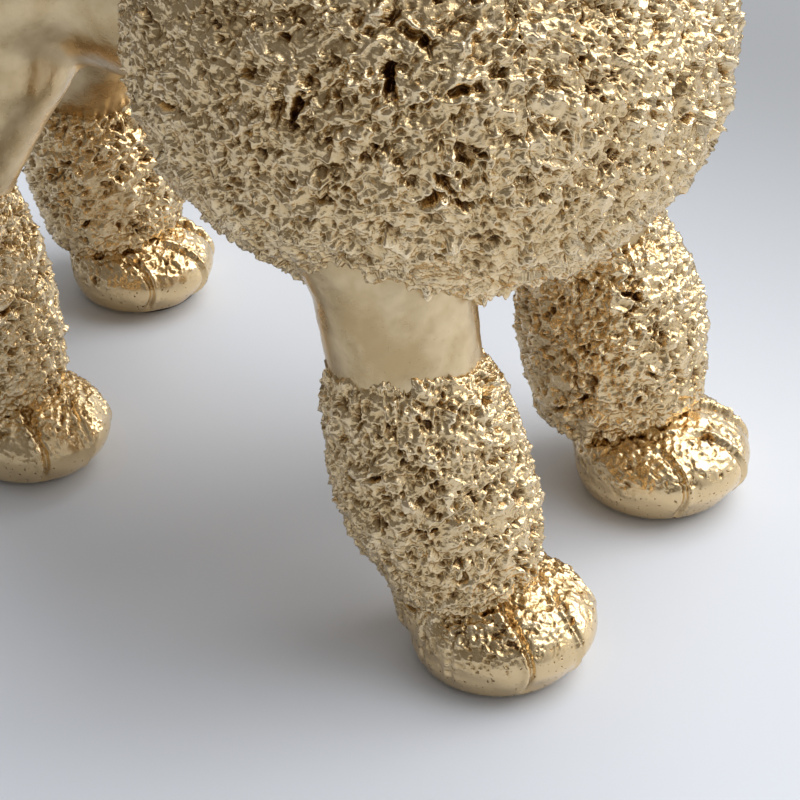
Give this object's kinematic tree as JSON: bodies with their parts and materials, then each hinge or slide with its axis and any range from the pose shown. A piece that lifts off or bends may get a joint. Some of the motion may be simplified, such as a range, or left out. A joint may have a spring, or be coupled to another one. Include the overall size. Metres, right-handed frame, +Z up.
{
  "type": "ceramic dog figurine",
  "caption": "Standing poodle figurine in gold-glazed ceramic with a crusted mane, leg bracelets, topknot and tail pompon, on felt pads.",
  "frame": {"origin": "on the table under the middle of the dog's length and width", "axes": "-Y the way the dog faces, -X its right side, +Z up"},
  "size_m": [0.148, 0.282, 0.309],
  "materials": {
    "gold_smooth": "satin champagne-gold metallic glaze on smooth slip castings",
    "gold_crust": "champagne-gold metallic glaze over a rough crusted clay coat, darker in its pits",
    "felt": "dark pressed felt"
  },
  "bodies": {
    "root": {"body_shell": "gold_smooth", "neck_tube": "gold_smooth", "head_shell": "gold_smooth", "nose": "gold_smooth", "right_eye": "gold_smooth", "left_eye": "gold_smooth", "right_ear": "gold_crust", "left_ear": "gold_crust", "topknot_coat": "gold_crust", "neck_ruff": "gold_crust", "mane_chest": "gold_crust", "mane_right_shoulder": "gold_crust", "mane_left_shoulder": "gold_crust", "mane_back": "gold_crust", "front_right_leg": "gold_smooth", "front_left_leg": "gold_smooth", "rear_right_leg": "gold_smooth", "rear_left_leg": "gold_smooth", "front_right_bracelet": "gold_crust", "front_left_bracelet": "gold_crust", "rear_right_bracelet": "gold_crust", "rear_left_bracelet": "gold_crust", "front_right_paw": "gold_smooth", "front_left_paw": "gold_smooth", "rear_right_paw": "gold_smooth", "rear_left_paw": "gold_smooth", "front_right_felt": "felt", "front_left_felt": "felt", "rear_right_felt": "felt", "rear_left_felt": "felt", "tail_stem": "gold_smooth", "tail_pompon": "gold_crust"}
  },
  "joints": []
}
